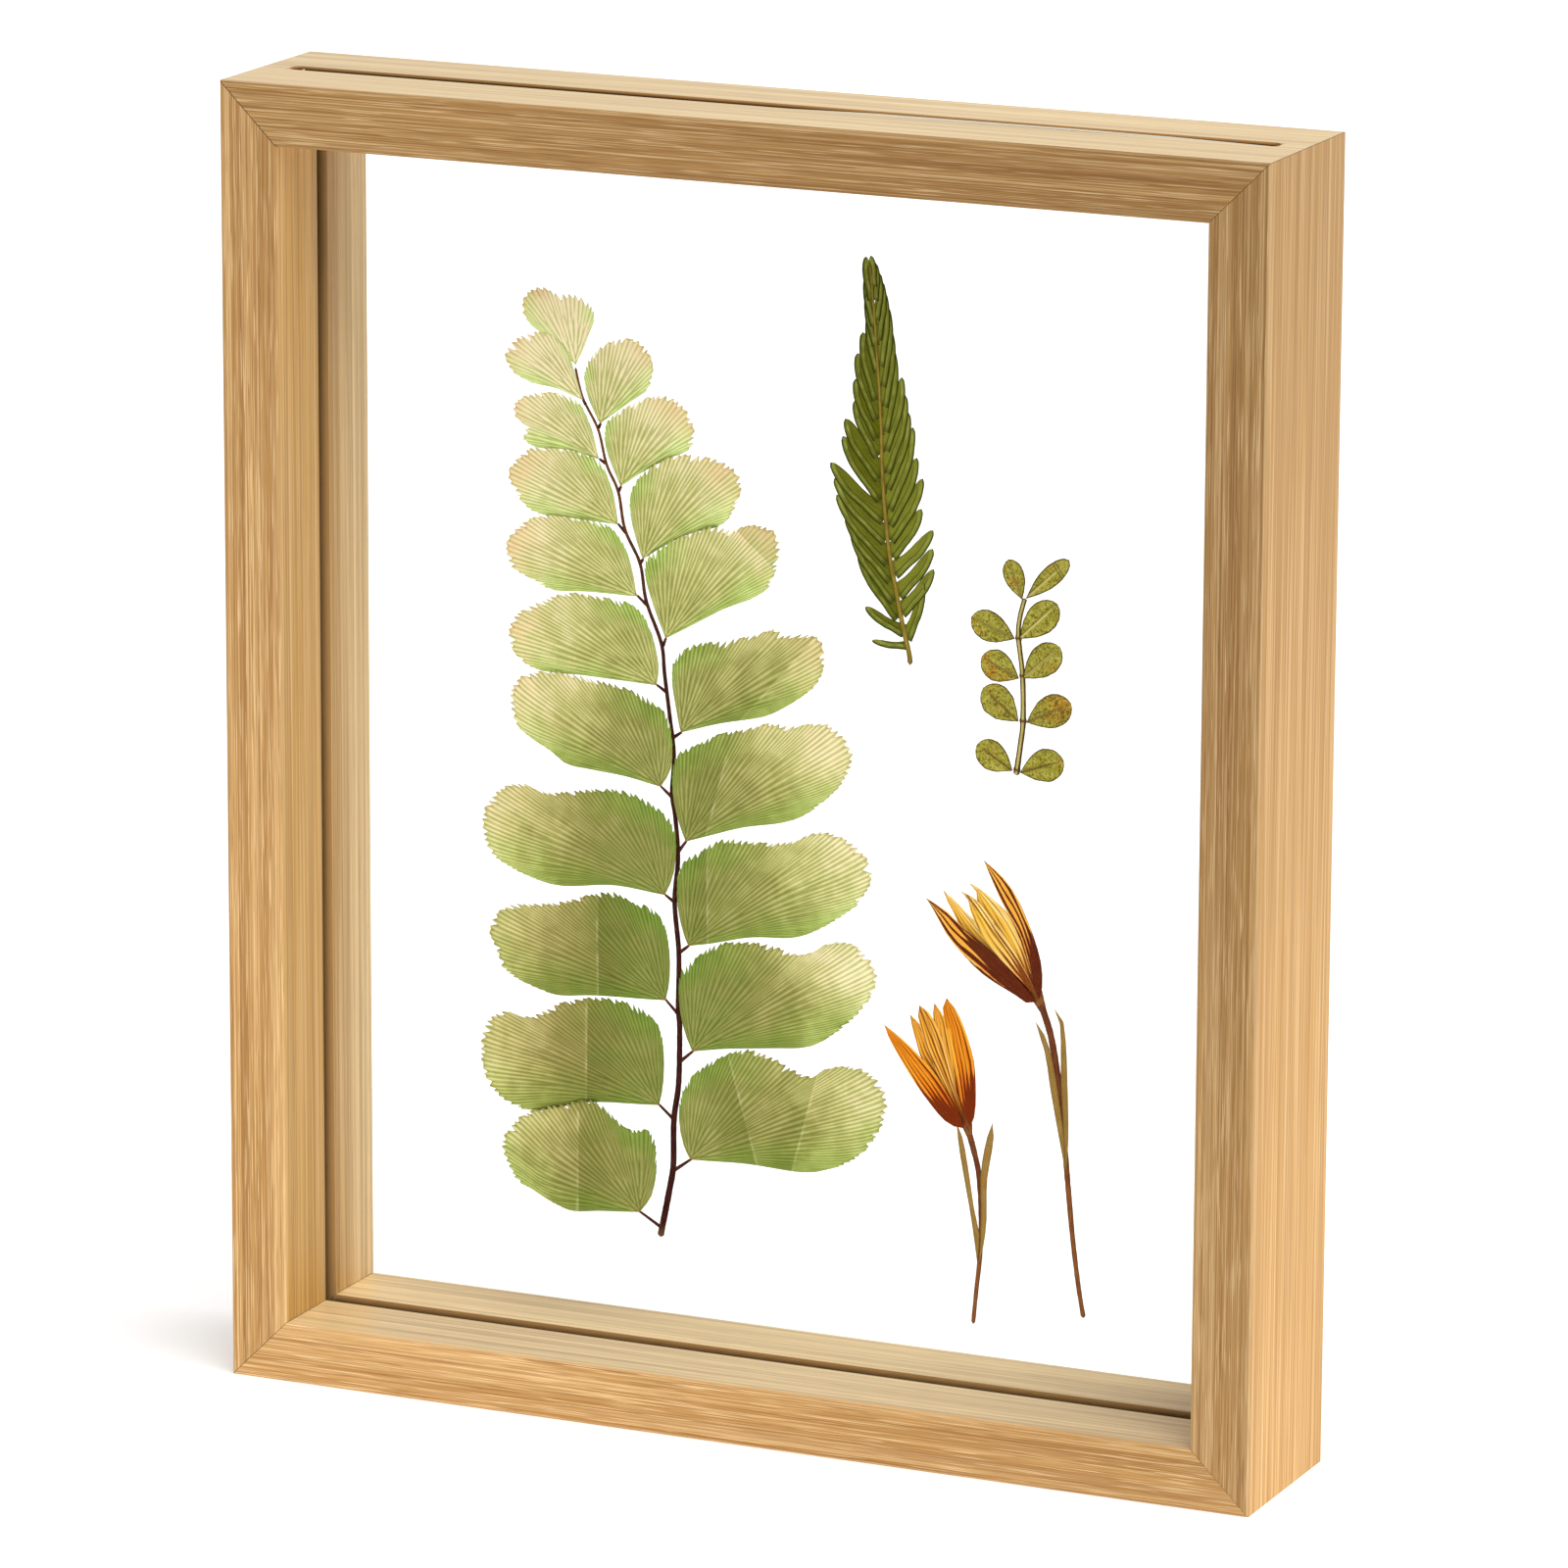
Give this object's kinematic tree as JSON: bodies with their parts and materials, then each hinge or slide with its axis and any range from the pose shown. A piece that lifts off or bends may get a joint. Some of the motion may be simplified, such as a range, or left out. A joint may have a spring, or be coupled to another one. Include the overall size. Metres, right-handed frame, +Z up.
{
  "type": "pressed flower frame",
  "caption": "Free-standing oak frame holding dried fern fronds, a leafy sprig and orange flowers pressed between clear glass panes.",
  "frame": {"origin": "middle of the underside of the bottom rail, where the frame stands", "axes": "+Z up, -Y out of the front face, +X to the right seen from the front"},
  "size_m": [0.215, 0.0384, 0.258],
  "materials": {
    "oak": "clear satin lacquer over straight-grained oak",
    "glass": "clear float glass with ground edges",
    "maidenhair_leaf": "dried, thin and translucent, fanned veins",
    "maidenhair_stem": "dark and smooth",
    "fern_blade": "dried, matt, yellowish midrib",
    "sprig_leaf": "dried, matt, speckled brown",
    "sprig_stem": "dried, ridged",
    "petal": "dried, translucent, dark veins",
    "bract": "dried, matt",
    "flower_stem": "dried, matt"
  },
  "bodies": {
    "root": {"back_pane": "glass", "bottom_rail": "oak", "fern_frond": "fern_blade", "front_pane": "glass", "large_flower_bract_left": "bract", "large_flower_bract_right": "bract", "large_flower_petal_1": "petal", "large_flower_petal_2": "petal", "large_flower_petal_3": "petal", "large_flower_petal_4": "petal", "large_flower_petal_5": "petal", "large_flower_stem": "flower_stem", "left_rail": "oak", "maidenhair_left_1": "maidenhair_leaf", "maidenhair_left_10": "maidenhair_leaf", "maidenhair_left_2": "maidenhair_leaf", "maidenhair_left_3": "maidenhair_leaf", "maidenhair_left_4": "maidenhair_leaf", "maidenhair_left_5": "maidenhair_leaf", "maidenhair_left_6": "maidenhair_leaf", "maidenhair_left_7": "maidenhair_leaf", "maidenhair_left_8": "maidenhair_leaf", "maidenhair_left_9": "maidenhair_leaf", "maidenhair_right_1": "maidenhair_leaf", "maidenhair_right_2": "maidenhair_leaf", "maidenhair_right_3": "maidenhair_leaf", "maidenhair_right_4": "maidenhair_leaf", "maidenhair_right_5": "maidenhair_leaf", "maidenhair_right_6": "maidenhair_leaf", "maidenhair_right_7": "maidenhair_leaf", "maidenhair_right_8": "maidenhair_leaf", "maidenhair_right_9": "maidenhair_leaf", "maidenhair_stem": "maidenhair_stem", "maidenhair_tip": "maidenhair_leaf", "right_rail": "oak", "small_flower_bract_left": "bract", "small_flower_bract_right": "bract", "small_flower_petal_1": "petal", "small_flower_petal_2": "petal", "small_flower_petal_3": "petal", "small_flower_petal_4": "petal", "small_flower_petal_5": "petal", "small_flower_stem": "flower_stem", "sprig_left_1": "sprig_leaf", "sprig_left_2": "sprig_leaf", "sprig_left_3": "sprig_leaf", "sprig_left_4": "sprig_leaf", "sprig_left_5": "sprig_leaf", "sprig_right_1": "sprig_leaf", "sprig_right_2": "sprig_leaf", "sprig_right_3": "sprig_leaf", "sprig_right_4": "sprig_leaf", "sprig_right_5": "sprig_leaf", "sprig_stem": "sprig_stem", "top_rail": "oak"}
  },
  "joints": []
}
